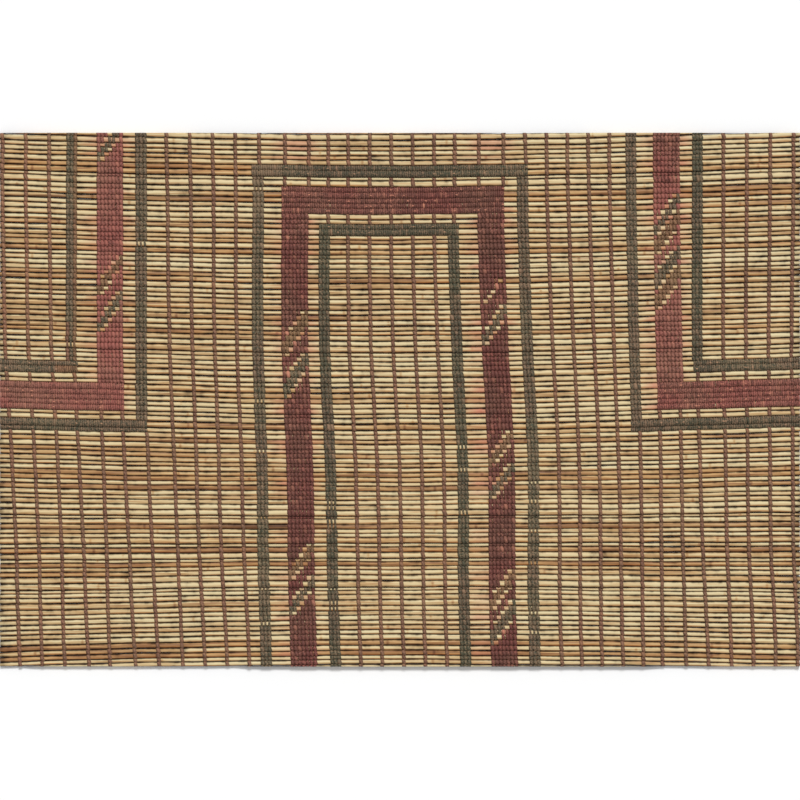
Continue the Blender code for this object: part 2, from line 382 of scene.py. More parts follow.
def straw_finish():
    material, tree, shader = new_material("dry_straw")
    tone, warmth, shift = (read_number(tree, name) for name in ("tone", "warmth", "shift"))
    broad = use_group(tree, FIBRES, {"Along": 16.0, "Across": 620.0, "Shift": shift}).outputs[0]
    thin = use_group(tree, FIBRES, {"Along": 45.0, "Across": 1700.0, "Shift": shift}).outputs[0]
    streaked = calc(tree, "ADD", tone, swing(tree, broad, 0.45))
    streaked = calc(tree, "ADD", streaked, swing(tree, thin, 0.34))
    ramp = add_node(tree, "ShaderNodeValToRGB", {0: streaked})
    stops = ramp.color_ramp.elements
    for index, (spot, colour) in enumerate(STRAW_COLOURS):
        stop = stops[index] if index < 2 else stops.new(spot)
        stop.position = spot
        stop.color = colour
    warm = mix_colour(tree, times(tree, warmth, 0.8), ramp.outputs[0], WARM_TINT, "MULTIPLY")
    # painted shade: tints the side of each stem that faces the foot, away from the key light, browner
    foot_shade = calc(tree, "MULTIPLY_ADD", broad, 0.9, read_number(tree, "foot"))
    foot_shaded = mix_colour(tree, remap(tree, foot_shade, 0.65, 1.3), warm, FOOT_SIDE_SHADE_TINT, "MULTIPLY")
    stained = mix_colour(tree, read_number(tree, "stain"), foot_shaded, LEATHER_STAIN)
    # dirt and painted shade: darkens the furrows between the stems towards near black
    dirt_and_shade = use_group(tree, DIRT_AND_SHADE, {"Clear From": 0.95, "Patchy": 0.8}).outputs[0]
    soiled_and_shaded = mix_colour(tree, dirt_and_shade, stained, FURROW_SOIL_AND_SHADE)
    glossy = remap(tree, thin, 0.0, 1.0, 0.42, 0.68)
    rough = calc(tree, "MULTIPLY_ADD", dirt_and_shade, 0.4, glossy)
    grain = use_group(tree, GRAIN, {"Scale": 1100.0, "Pits": 0.2}).outputs[0]
    relief = calc(tree, "ADD", times(tree, thin, 0.8), times(tree, grain, 0.25))
    connect(tree, shader, soiled_and_shaded, rough, {"Strength": 0.35, "Distance": 0.12 * MM, "Height": relief})
    return material


STRAW = straw_finish()
print("finish:", STRAW.name)

# %% [markdown]
# ## The leather finishes
# All the strips are vegetable tanned hide, dyed and then faded by feet and light. The plain laces are
# a purplish brown, the bands a dull green and a dull red, and a few strips in the ornament are tan.
# One function makes each finish, because hide is hide: only the dye differs. Each stitch carries its
# own tint and fade, as the strips came from different parts of the hide. The hue also drifts slowly over
# the mat, from crimson to orange, most of all in the red.

# %% Leather
DYES = {
    # fresh colour, faded colour, colour where it is rubbed bare, how speckled it is, how its hue drifts
    "lace": ((0.125, 0.058, 0.036, 1), (0.265, 0.138, 0.080, 1), (0.34, 0.150, 0.070, 1), 1.0, 0.4),
    "green": ((0.064, 0.058, 0.035, 1), (0.210, 0.139, 0.083, 1), (0.42, 0.240, 0.140, 1), 1.6, 0.5),
    "red": ((0.115, 0.040, 0.030, 1), (0.30, 0.110, 0.082, 1), (0.58, 0.240, 0.150, 1), 1.2, 1.0),
    "tan": ((0.120, 0.062, 0.032, 1), (0.27, 0.150, 0.078, 1), (0.35, 0.200, 0.110, 1), 1.0, 0.5),
}
CRIMSON_SIDE = (1.05, 0.93, 0.96, 1)
ORANGE_SIDE = (0.98, 1.12, 1.04, 1)
# near black, painted into the gaps between the strips: dirt and painted shade
LEATHER_SOIL_AND_SHADE = (0.026, 0.014, 0.010, 1)


def leather_finish(dye):
    fresh, faded, bare, speckled, hue_drift = DYES[dye]
    material, tree, shader = new_material(dye + "_hide")
    grain = use_group(tree, GRAIN, {"Scale": 2600.0, "Pits": 0.7})
    specks = swing(tree, grain.outputs[1], speckled)
    fade = calc(tree, "ADD", read_number(tree, "fade"), specks)
    worn = mix_colour(tree, remap(tree, fade, 0.0, 1.0), fresh, faded)
    pattern = {"Vector": object_place(tree), "Scale": 26.0, "Detail": 2.0}
    slow = add_node(tree, "ShaderNodeTexNoise", pattern)
    hue = mix_colour(tree, remap(tree, slow.outputs[0], 0.36, 0.64), CRIMSON_SIDE, ORANGE_SIDE)
    varied = mix_colour(tree, hue_drift, worn, hue, "MULTIPLY")
    tinted = mix_colour(tree, read_number(tree, "blush"), varied, bare)
    # dirt and painted shade in the gaps between the strips, stronger where the mottle is low
    dirt_and_shade = use_group(tree, DIRT_AND_SHADE, {"Clear From": 0.7, "Patchy": 0.4}).outputs[0]
    held = remap(tree, grain.outputs[1], 0.0, 1.0, 0.95, 0.2)
    soiled_and_shaded = mix_colour(tree, times(tree, dirt_and_shade, held), tinted, LEATHER_SOIL_AND_SHADE)
    rough = remap(tree, grain.outputs[1], 0.0, 1.0, 0.55, 0.85)
    relief = {"Strength": 0.5, "Distance": 0.1 * MM, "Height": grain.outputs[0]}
    connect(tree, shader, soiled_and_shaded, rough, relief)
    return material


LEATHER = {dye: leather_finish(dye) for dye in DYES}
print("leather finishes:", list(LEATHER))

# %% [markdown]
# ## One map for baking
# Pieces with thousands of small parts don't unwrap well. The mat is flat, so its map is its own plan:
# what faces up lies on one half of the square, what faces down on the other. Each piece is first
# trimmed square at the mat's head and foot, where the length was cut.

# %% Trim and map
MAP_MARGIN = 0.004


def trim_ends(shape):
    """Slices a bmesh square at the mat's head and foot and closes the cut faces."""
    plane = 0.5 * MAT_LENGTH
    for facing in (1, -1):
        near = [face for face in shape.faces if max(facing * vert.co.y for vert in face.verts) > plane]
        region = set(near)
        for face in near:
            region.update(face.verts)
            region.update(face.edges)
        knife = {"plane_co": (0, facing * plane, 0), "plane_no": (0, facing, 0), "clear_outer": True}
        cut = bmesh.ops.bisect_plane(shape, geom=list(region), dist=1e-7, **knife)
        edges = [item for item in cut["geom_cut"] if isinstance(item, bmesh.types.BMEdge)]
        bmesh.ops.holes_fill(shape, edges=edges, sides=0)


def read_all(items, name, width, kind):
    """One property of every item, as rows of the given width."""
    values = np.zeros(width * len(items), kind)
    items.foreach_get(name, values)
    return values.reshape(-1, width)


def map_from_plan(mesh):
    """Writes the bake map: upper faces on the lower half of the square, under faces on the other."""
    layer = mesh.uv_layers.new(name="OFBake")
    corners = read_all(mesh.loops, "vertex_index", 1, np.int32)[:, 0]
    facing_down = read_all(mesh.polygons, "normal", 3, np.float32)[:, 2] < 0
    under = np.repeat(facing_down, read_all(mesh.polygons, "loop_total", 1, np.int32)[:, 0])
    spots = read_all(mesh.vertices, "co", 3, np.float32)[corners]
    u = (spots[:, 0] - solid_low.x) / (solid_high.x - solid_low.x)
    v = (spots[:, 1] - solid_low.y) / (solid_high.y - solid_low.y)
    v = 0.5 * (MAP_MARGIN + v * (1 - 2 * MAP_MARGIN)) + 0.5 * under
    flat = np.stack((MAP_MARGIN + u * (1 - 2 * MAP_MARGIN), v), axis=1)
    layer.uv.foreach_set("vector", np.clip(flat, 0.0, 1.0).astype(np.float32).ravel())


def finish_piece(name, meshes, materials):
    """Joins meshes, trims them at the mat's ends, maps them and makes the object that carries them."""
    shape = bmesh.new()
    for mesh in meshes:
        shape.from_mesh(mesh)
    trim_ends(shape)
    joined = bpy.data.meshes.new(name)
    shape.to_mesh(joined)
    shape.free()
    for material in materials:
        joined.materials.append(material)
    map_from_plan(joined)
    piece = add_object(name, joined)
    joined.calc_loop_triangles()
    print(name, "has", len(joined.loop_triangles), "triangles")
    return piece


def grown(source, tree, inputs):
    """Runs a geometry tree on an object and returns the plain mesh that comes out."""
    modifier = source.modifiers.new("grow", "NODES")
    modifier.node_group = tree
    for item in tree.interface.items_tree:
        if item.item_type == "SOCKET" and item.in_out == "INPUT" and item.name in inputs:
            modifier[item.identifier] = inputs[item.name]
    graph = bpy.context.evaluated_depsgraph_get()
    mesh = bpy.data.meshes.new_from_object(source.evaluated_get(graph))
    source.modifiers.remove(modifier)
    bpy.data.objects.remove(source, do_unlink=True)
    return mesh


def store_numbers(mesh, values, kind="FLOAT"):
    """Keeps a number or a vector for each point of a mesh, under its name."""
    for name, numbers in values.items():
        layer = mesh.attributes.new(name, kind, "POINT")
        field = "value" if kind == "FLOAT" else "vector"
        layer.data.foreach_set(field, np.asarray(numbers, np.float32).ravel())


print("trim and map ready")

# %% [markdown]
# ## The lanes of the laces
# A lace runs down the mat in its own lane. Each lane is read from the box of the lace's solid, which
# leans from its head to its foot. Worked by hand, no lane is quite straight, so a chart adds how far
# the leather bows to the right. The legs of the bands use it too, so they bow with the laces beside them.

# %% Lanes
LACE_WIDTH = 3.4 * MM
LEAN_POWER = 1.5
BOW_ACROSS = (60, 106, 150, 210, 278, 350, 396, 436, 475, 570)
BOW_DOWN = (14, 44, 74, 104, 134, 164, 200, 235, 255, 286, 316, 346, 376)
BOWS = (
    # millimetres to the right, a line for each place across and a number for each height down
    (0.1, -0.3, -0.3, -0.5, -0.8, -1.0, 0.2, 1.2, 1.5, 1.8, 2.1, 1.5, 1.0),
    (0.0, 0.3, 0.2, 0.0, 0.0, -0.2, 0.0, 0.8, 1.2, 1.5, 1.8, 1.2, 1.0),
    (1.0, 1.5, 1.2, 0.5, 0.1, 0.0, 0.2, 0.4, 0.0, -0.5, -0.5, 0.2, 0.8),
    (0.8, 0.6, 0.1, -0.8, -0.9, -1.3, -0.4, 0.5, 0.9, 0.7, 0.2, 0.0, 0.3),
    (0.8, 0.7, 0.0, -0.5, -0.6, -0.8, 0.4, 1.5, 1.7, 1.5, 1.0, 0.5, 0.3),
    (0.6, 0.4, -0.1, 0.6, 1.3, 1.9, 2.8, 3.9, 3.8, 3.1, 1.9, 1.1, 0.6),
    (0.6, 0.3, 0.4, 1.2, 1.5, 2.0, 3.3, 4.1, 4.2, 3.2, 2.1, 0.9, 0.6),
    (0.0, 0.3, 0.9, 1.2, 1.6, 2.2, 3.0, 3.3, 3.2, 2.7, 1.6, 0.6, -0.5),
    (0.0, 0.0, -0.2, 0.0, -0.2, 0.0, 0.0, 0.7, 0.9, 0.9, 0.8, 0.5, 0.0),
    (0.3, 0.0, -0.4, -1.1, -1.6, -2.0, -1.8, -1.6, -1.7, -2.0, -1.8, -0.6, 0.5),
)


def leaning(top, foot, start, end, down):
    """Distance from the left edge of a lace or leg that runs from start to end, at a height down."""
    share = (down - start) / (end - start)
    return top + (foot - top) * max(0.0, share) ** LEAN_POWER


def bow(across, down):
    """How far a lace or a leg lies to the right of its leaning line."""
    levels = [np.interp(down / MM, BOW_DOWN, column) for column in BOWS]
    return MM * float(np.interp(across / MM, BOW_ACROSS, levels))


def lace_lanes():
    """For each lace: where it starts and ends, its place at the top, and its line down the mat."""
    lanes = []
    for name in sorted(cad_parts):
        if not name.startswith("lace_"):
            continue
        low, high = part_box(name)
        top = low.x + 0.5 * (LACE_WIDTH + MAT_WIDTH)
        foot = high.x - 0.5 * (LACE_WIDTH - MAT_WIDTH)
        start = max(0.0, 0.5 * MAT_LENGTH - high.y)
        end = min(MAT_LENGTH, 0.5 * MAT_LENGTH - low.y)
        line = lambda down, ends=(top, foot, start, end): leaning(*ends, down) + bow(ends[0], down)
        lanes.append((start, end, top, line))
    return lanes


LANES = lace_lanes()
print(len(LANES), "lanes")

# %% [markdown]
# ## The stems
# Each row is one grass stem, or two that meet end to end under a lace. The form is a tube swept along
# a line. The line follows the drift of its row with a little waviness of its own, and the
# radius swells at each joint of the grass. The script writes the lines, with the radius and the
# colour numbers at each point. Stems are darker in worn patches and in one stain, and beside the red
# legs some have taken a little red from the leather.

# %% Wear and stains
RUB_REACH = 9 * MM
STAIN_ACROSS = 558 * MM
STAIN_DOWN = 110 * MM
STAIN_REACH = 17 * MM
RED_SPANS = (
    # left and right side of a red leg and how far down it reaches, in millimetres
    (72, 93, 206),
    (211, 232, 400),
    (357, 379, 400),
    (489, 512, 206),
)


def slow_wave(across, reach, waves=3, longest=420 * MM):
    """A smooth random curve along a stem, within reach of zero."""
    total = np.zeros_like(across)
    for step in range(waves):
        length = longest / (1 + 1.3 * step)
        total += np.sin(2 * math.pi * (across / length + draw.random())) / (1 + step)
    return reach * total / 1.8


def red_rub(across, down):
    """How close a place is to a leg of red leather, from 0 to 1."""
    near = np.zeros_like(across)
    for left, right, end in RED_SPANS:
        apart = np.maximum(left * MM - across, across - right * MM)
        close = 1 - np.clip(apart, 0, None) / RUB_REACH
        near = np.maximum(near, np.where(down < end * MM, close, 0.0))
    return np.clip(near, 0.0, 1.0)


def spilled(across, down):
    """The small dark stain near the right edge, from 0 to 1."""
    apart = np.hypot(across - STAIN_ACROSS, down - STAIN_DOWN)
    return np.exp(-((apart / STAIN_REACH) ** 2))


def patches(across, down):
    """Places where several stems together are darker, from wear and dirt."""
    wave = np.sin(across / (45 * MM) + 3.1 * np.sin(down / (19 * MM))) * np.sin(down / (7.3 * MM) + 1.7)
    return 0.16 * np.clip(wave - 0.25, 0, None) + 0.13 * spilled(across, down)


print(len(RED_SPANS), "red legs rub off")

# %% One stem
STATION_STEP = 9.6 * MM
STEM_WAVE = 0.08 * MM
JOINT_REACH = 1.6 * MM
JOINT_SWELL = 0.05
BROWN_SHARE = 0.23
GOLDEN = 0.618
STEM_KINDS = {
    # tone: usual, spread, least, most; warmth: least, most
    "brown": (0.50, 0.09, 0.28, 0.7, 0.2, 0.8),
    "pale": (0.735, 0.08, 0.5, 0.87, 0.05, 0.3),
}


def one_stem(row, start, end):
    """Stations of one stem: place across and down, height, radius, tone, warmth, stain, flatness."""
    joints = np.arange(start + draw.uniform(10, 160) * MM, end - 6 * MM, draw.uniform(150, 260) * MM)
    around = np.concatenate([joints - JOINT_REACH, joints, joints + JOINT_REACH])
    count = max(3, round((end - start) / STATION_STEP))
    across = np.unique(np.concatenate([np.linspace(start, end, count), around]))
    down = row_down(row, across) + slow_wave(across, STEM_WAVE)
    height = mid_height(row) + slow_wave(across, STEM_WAVE)
    full = 1.0 - np.clip(draw.normal(0.0, 0.035), 0.0, 0.09)
    radius = 0.5 * full * room_of(row) + slow_wave(across, STEM_WAVE)
    radius = radius + slow_wave(across, STEM_WAVE, 2, 60 * MM)
    for _ in range(draw.integers(0, 4)):
        apart = np.abs(across - draw.uniform(start, end)) / (draw.uniform(7, 22) * MM)
        radius = radius * (1 - draw.uniform(0.05, 0.17) * np.clip(1.4 - apart, 0, 1))
    swell = np.zeros_like(across)
    for joint in joints:
        swell = np.maximum(swell, 1 - np.clip(np.abs(across - joint) / (1.5 * MM), 0, 1))
    radius = radius * (1 + JOINT_SWELL * swell)
    brown = (row * GOLDEN + 0.4 * draw.random()) % 1.0 < BROWN_SHARE
    usual, spread, least, most, cool, warm = STEM_KINDS["brown" if brown else "pale"]
    tone = np.full_like(across, np.clip(draw.normal(usual, spread), least, most))
    warmth = np.full_like(across, draw.uniform(cool, warm))
    tone += 0.07 * across / MAT_WIDTH + slow_wave(across, 0.1) - 0.25 * swell - patches(across, down)
    warmth += slow_wave(across, 0.1)
    stain = red_rub(across, down) * np.clip(draw.normal(0.12, 0.25), 0, 0.8)
    flatness = np.full_like(across, half_height(row) / (0.5 * room_of(row)))
    return np.stack([across, down, height, radius, tone, np.clip(warmth, 0, 1), stain, flatness], axis=1)


print("share of brown stems:", BROWN_SHARE)

# %% Lines of the stems
MEET_CHANCE = 0.4
MEET_GAP = 0.4 * MM
MEET_FROM = 60 * MM
MEET_TO = 540 * MM


def stem_lines():
    """A mesh of bare lines, one for each stem, with its numbers at every point."""
    stems = []
    for row in range(FIRST_ROW, LAST_ROW + 1):
        overhang = draw.uniform(-0.2, 0.5, 2) * MM
        ends = [-overhang[0], MAT_WIDTH + overhang[1]]
        if draw.random() < MEET_CHANCE:
            down = min(MAT_LENGTH, max(0.0, (row + 0.5) * REED_PITCH))
            inner = [line(down) for start, end, _, line in LANES if start <= down <= end]
            meet = draw.choice([spot for spot in inner if MEET_FROM < spot < MEET_TO])
            stems.append(one_stem(row, ends[0], meet - 0.5 * MEET_GAP))
            stems.append(one_stem(row, meet + 0.5 * MEET_GAP, ends[1]))
        else:
            stems.append(one_stem(row, *ends))
    table = np.concatenate(stems)
    edges = []
    shift = []
    base = 0
    for number, stem in enumerate(stems):
        edges += [(base + step, base + step + 1) for step in range(len(stem) - 1)]
        shift += [7.3 * number] * len(stem)
        base += len(stem)
    mesh = bpy.data.meshes.new("stem_lines")
    places = np.stack([to_x(table[:, 0]), to_y(table[:, 1]), table[:, 2]], axis=1)
    mesh.from_pydata(places.tolist(), edges, [])
    columns = dict(zip(("girth", "tone", "warmth", "stain", "flatness"), table[:, 3:].T))
    columns["middle"] = table[:, 2]
    store_numbers(mesh, dict(columns, shift=shift))
    print(len(stems), "stems,", len(table), "stations")
    return mesh


line_object = add_object("stem_lines", stem_lines())

# %% [markdown]
# ## Sweep and press
# A geometry tree sweeps a round section along all the lines at once and then presses it a little above
# and below, as the stems lie. It also marks how far each face looks up or down, and how far to the
# foot, because the finish paints dirt and shade into the furrows from the one and shade on the foot
# side from the other.

# %% Tree of the sweep
STEM_SIDES = 10
PRESSED = 0.6


def geometry_group(name, numbers):
    """A geometry tree that takes a shape, some numbers and a finish, and gives back a shape."""
    inputs = [("Source", "Geometry", None), *numbers, ("Finish", "Material", None)]
    return new_group(name, "GeometryNodeTree", inputs, [("Result", "Geometry")])


def hand_over(tree, shape, finish, result):
    """The end of a geometry tree: smooth faces, no more instances, and the finish."""
    smooth = add_node(tree, "GeometryNodeSetShadeSmooth", {0: shape})
    real = add_node(tree, "GeometryNodeRealizeInstances", {0: smooth.outputs[0]})
    dressed = {"Geometry": real.outputs[0], "Material": finish}
    tree.links.new(add_node(tree, "GeometryNodeSetMaterial", dressed).outputs[0], result.inputs[0])


def sweep_tree():
    """Sweeps a round section along every line and presses it flatter above and below."""
    numbers = [("Sides", "Int", STEM_SIDES), ("Pressed", "Float", PRESSED)]
    tree, given, result = geometry_group("sweep_stems", numbers)
    lines, sides, power, finish = given.outputs[:4]
    curves = add_node(tree, "GeometryNodeMeshToCurve", {0: lines}).outputs[0]
    circle = {"Resolution": sides, "Radius": 1.0}
    section = add_node(tree, "GeometryNodeCurvePrimitiveCircle", circle, mode="RADIUS").outputs[0]
    girth, flatness, middle = (stored(tree, name) for name in ("girth", "flatness", "middle"))
    swept = {"Curve": curves, "Profile Curve": section, "Scale": girth, "Fill Caps": True}
    shape = add_node(tree, "GeometryNodeCurveToMesh", swept).outputs[0]
    x, y, z = split(tree, "GeometryNodeInputPosition")
    above = calc(tree, "DIVIDE", calc(tree, "SUBTRACT", z, middle), girth)
    rise = times(tree, calc(tree, "POWER", calc(tree, "ABSOLUTE", above), power), girth)
    rise = times(tree, rise, calc(tree, "SIGN", above))
    height = calc(tree, "MULTIPLY_ADD", rise, flatness, middle)
    squashed = add_node(tree, "ShaderNodeCombineXYZ", {0: x, 1: y, 2: height}).outputs[0]
    _, to_head, upward = split(tree, "GeometryNodeInputNormal")
    marks = {"crown": calc(tree, "ABSOLUTE", upward), "foot": times(tree, to_head, -1.0)}
    for name, number in marks.items():
        mark = {"Geometry": shape, "Name": name, "Value": number}
        shape = add_node(tree, "GeometryNodeStoreNamedAttribute", mark).outputs[0]
    pressed = add_node(tree, "GeometryNodeSetPosition", {"Geometry": shape, "Position": squashed})
    hand_over(tree, pressed.outputs[0], finish, result)
    return tree


# %% Sweep the stems
stem_mesh = grown(line_object, sweep_tree(), {"Sides": STEM_SIDES, "Finish": STRAW, "Pressed": PRESSED})
stems = finish_piece("reed_stems", [stem_mesh], [STRAW])

# %% [markdown]
# ## Where the leather goes
# The leather is twined: two strips work down the mat together, and at every stem one passes in front
# while the other passes behind, then they swap. From above each stem shows one slanting stitch.
# A plain lace is one such pair. A band's leg is three or seven pairs side by side. A band's bar is
# worked along a few stems, with short upright wraps packed close together.

# %% Bands
ARCHES = (
    # name, left_top, left_foot, right_top, right_foot, width, first_row, last_row, pairs, dye
    ("arch_outer", 193.0, 199.5, 391.5, 401.0, 8.4, 5, 6, 3, "green"),
    ("arch_red", 221.3, 227.8, 368.0, 378.0, 20.0, 9, 13, 7, "red"),
    ("arch_inner", 243.4, 251.6, 340.0, 349.0, 8.0, 16, 17, 3, "green"),
)
CORNERS = (
    # name, side, leg_top, leg_foot, width, first_row, last_row, pairs, dye
    ("left_outer", -1, 105.8, 106.2, 8.6, 55, 56, 3, "green"),
    ("left_red", -1, 82.5, 83.3, 19.6, 48, 52, 7, "red"),
    ("left_inner", -1, 54.0, 54.4, 7.8, 44, 45, 3, "green"),
    ("right_outer", 1, 472.9, 477.0, 7.6, 55, 56, 3, "green"),
    ("right_red", 1, 499.5, 503.0, 20.0, 48, 52, 7, "red"),
    ("right_inner", 1, 522.8, 523.9, 7.6, 44, 45, 3, "green"),
)


def rows_between(first, last, across_at):
    """Each row from first to last with the place where a column of stitches crosses it."""
    for row in range(first, last + 1):
        down = row_down(row, across_at((row + 0.5) * REED_PITCH))
        across = across_at(down)
        yield row, across, float(row_down(row, across))


def bar_down(across, row):
    """Distance down to the line between a row and the one before it."""
    down = row * REED_PITCH
    return down + float(drift(across, down))


print(len(ARCHES) + len(CORNERS), "bands")

# %% [markdown]
# ## The ornament in the red legs
# The red legs carry a small repeat of slanting lines. Along each line a stitch is left out on every
# row, one pair further to the left each time, so the bare stem shows as a small pale window.
# Between two such lines the strips may change to green or tan. The chart counts as a weaver would:
# the row where the repeat starts, the rows on to each line, and the dye between the lines.

# %% Chart of the ornament
MOTIFS = (
    # leg, first row, rows on to each line, dyes between the lines
    ("arch_red_left", 33, (0, 4, 8, 12), ("tan", "red", "green")),
    ("arch_red_left", 80, (0, 3, 7, 10), ("tan", "red", "green")),
    ("arch_red_right", 27, (0, 5, 8), ("red", "green")),
    ("arch_red_right", 56, (0, 3, 7, 10), ("tan", "red", "green")),
    ("arch_red_right", 86, (0, 3, 6, 10), ("tan", "red", "green")),
    ("left_red", -10, (0, 3, 7, 10), ("tan", "red", "green")),
    ("left_red", 23, (0, 3, 7, 10), ("tan", "red", "green")),
    ("right_red", 11, (0, 3, 7, 10, 14, 18), ("green", "tan", "red", "green", "tan")),
)
FIRST_OPEN_PAIR = 1
LAST_OPEN_PAIR = 5


def ornament(leg, row, pair):
    """The dye of a stitch in a red leg, or None where the stem is left bare."""
    for name, first, steps, dyes in MOTIFS:
        line = row + pair - LAST_OPEN_PAIR - first
        if name != leg or not steps[0] <= line <= steps[-1]:
            continue
        if line in steps and FIRST_OPEN_PAIR <= pair <= LAST_OPEN_PAIR:
            return None
        for start, end, dye in zip(steps, steps[1:], dyes):
            if start < line < end:
                return dye
    return "red"


print(len(MOTIFS), "repeats charted")

# %% [markdown]
# ## Places of the stitches
# Each stitch is a place on the mat, with a few numbers: how it is turned, how wide it is pulled, and
# how faded its strip is, which a chart gives for each region. The lists are kept by piece, by kind of
# stitch and by dye, because each list becomes part of one piece of the finished mat.

# %% How faded the strips are
FADES = (
    # dye, from and to in millimetres across, millimetres down, how faded the strips are there
    ("red", 0, 115, (0, 62, 80, 96, 150, 180, 186), (0.80, 0.74, 0.66, 0.84, 0.84, 1.00, 0.72)),
    (
        "red", 115, 300,
        (40, 75, 110, 150, 230, 290, 375, 400), (0.32, 0.26, 0.14, 0.28, 0.16, 0.02, 0.02, 0.22),
    ),
    ("red", 300, 470, (40, 75, 200, 400), (0.10, 0.14, 0.04, 0.04)),
    ("red", 470, 600, (0, 30, 50, 100, 135, 150, 175, 186), (0.48, 0.52, 0.95, 0.95, 0.86, 0.66, 0.80, 0.50)),
    ("green", 185, 210, (0, 30, 58, 72), (0.55, 0.95, 0.90, 0.50)),
    ("green", 235, 360, (0, 400), (0.22, 0.22)),
    ("green", 515, 535, (0, 400), (0.22, 0.22)),
)


def fade_of(dye, across, down):
    """How faded the strips of a dye are at a place, from the chart or else halfway."""
    for name, left, right, heights, fades in FADES:
        if name == dye and left * MM < across < right * MM:
            return float(np.interp(down / MM, heights, fades))
    return 0.5


print(len(FADES), "stretches charted")

# %% Numbers of a stitch
# how far the stitches of each kind stray from their line, in millimetres
SPREAD = {"plain": 0.10, "leg": 0.07, "bar": 0.08}
REACH_OVER = 1.18
DOT_RISE = 0.12 * MM
places = {}


def add_stitch(piece, kind, dye, row, across, down, front=True, narrow=1.0, bright=0.0, short=1.0):
    wobble = draw.normal(0.0, SPREAD[kind]) * MM
    fade = np.clip(fade_of(dye, across, down) + draw.normal(0.0, 0.13) + bright, 0.0, 1.0)
    fade = max(0.0, fade - 0.9 * float(spilled(across, down)))
    blush = np.clip(draw.normal(-0.15, 0.18) + 1.3 * max(0.0, bright), 0.0, 0.9)
    spin = draw.normal(0.0, 0.06)
    wide = narrow * np.clip(draw.normal(1.0, 0.05), 0.88, 1.12)
    long = 0.5 * REACH_OVER * room_of(row) * short
    high = half_height(row) + 0.5 * STRIP_THICKNESS + (DOT_RISE if short < 1.0 else 0.0)
    spot = (to_x(across) + wobble, to_y(down), mid_height(row))
    store = places.setdefault(piece, {}).setdefault((kind, dye), [])
    if front:
        store.append((*spot, 0.0, spin, wide, long, high, fade, blush))
    if short == 1.0:
        store.append((*spot, 1.0, spin, 1.0, long, high, fade, blush))


print("a stitch reaches over", REACH_OVER, "rows")

# %% Laces
PALE_ACROSS = 110 * MM
PALE_DOWN = 220 * MM
PALER = 0.2


def region_of(across):
    """Left, middle or right third of the mat, for sharing out the plain laces."""
    return ("left", "middle", "right")[min(2, int(3 * across / MAT_WIDTH))]


def in_bar(row, across):
    """True where a band's bar covers this row, so that a lace doesn't show."""
    for _, left_top, _, right_top, _, width, first, last, _, _ in ARCHES:
        inside = (left_top - 0.5 * width) * MM < across < (right_top + 0.5 * width) * MM
        if first <= row <= last and inside:
            return True
    for _, side, _, foot, width, first, last, _, _ in CORNERS:
        inside = side * (across - (foot - side * 0.5 * width) * MM) > 0
        if first <= row <= last and inside:
            return True
    return False


def list_laces():
    """Stitches of the plain laces, down every lane."""
    for start, end, top, line in LANES:
        for row, across, down in rows_between(FIRST_ROW, LAST_ROW, line):
            if start - 0.5 * REED_PITCH < down < end + 0.5 * REED_PITCH and not in_bar(row, across):
                bright = PALER if across < PALE_ACROSS and down < PALE_DOWN else 0.0
                add_stitch("laces_" + region_of(top), "plain", "lace", row, across, down, bright=bright)


list_laces()
print({piece: sum(map(len, kinds.values())) for piece, kinds in places.items()})

# %% [markdown]
# ## Legs and bars
# The rows of a leg sway a little, and now and then a row of green strips is thin. In the left inner
# green leg one pair is tan, and another turns brown further down. A bar shows a small pale dot of hide
# at some of its laces, and the lower stem of the left inner bar ends in tan.

# %% Legs
LOOSE_FROM = 56
THIN_CHANCES = (0.1, 0.012)
THIN_WIDTH = 0.52
BESIDE_OPEN_WIDTH = 0.8
BROWN_FROM = 36
SALMON_CHANCE = 0.06
SALMON_BRIGHT = 0.5


def list_leg(piece, leg, dye, path, width, pairs, first, last):
    """Stitches of a band's leg: pairs of strips side by side."""
    sway = draw.normal(0.0, 0.1 * MM, last - first + 1)
    chance = np.where(np.arange(first, last + 1) > LOOSE_FROM, *THIN_CHANCES) * (dye == "green")
    thin = draw.random(last - first + 1) < chance
    for pair in range(pairs):
        offset = width * ((pair + 0.5) / pairs - 0.5)
        for row, across, down in rows_between(first, last, path):
            shown = ornament(leg, row, pair) if dye == "red" else dye
            bright = 0.0
            if leg == "left_inner" and pair == pairs - 1:
                shown = "tan"
            if leg == "left_inner" and pair == 0 and row >= BROWN_FROM:
                shown = "lace"
            if shown is None and draw.random() < SALMON_CHANCE:
                shown = "red"
                bright = SALMON_BRIGHT
            spot = across + offset + sway[row - first]
            owner = piece.replace("red", "green") if shown == "green" else piece
            beside = [ornament(leg, row, pair + step) for step in (-1, 1) if dye == "red"]
            narrow = BESIDE_OPEN_WIDTH if None in beside else 1.0
            narrow = THIN_WIDTH if thin[row - first] else narrow
            add_stitch(owner, "leg", shown or dye, row, spot, down, shown is not None, narrow, bright)


print("green rows are looser from row", LOOSE_FROM + 1)

# %% Bars
BAR_PITCH = 1.65 * MM
DOT_LENGTH = 0.45
DOT_BRIGHT = 0.7
DOT_CHANCES = (0.35, 0.03)
CROSSED_BRIGHT = -0.3
TAN_ROW = 45
TAN_AFTER = 42 * MM


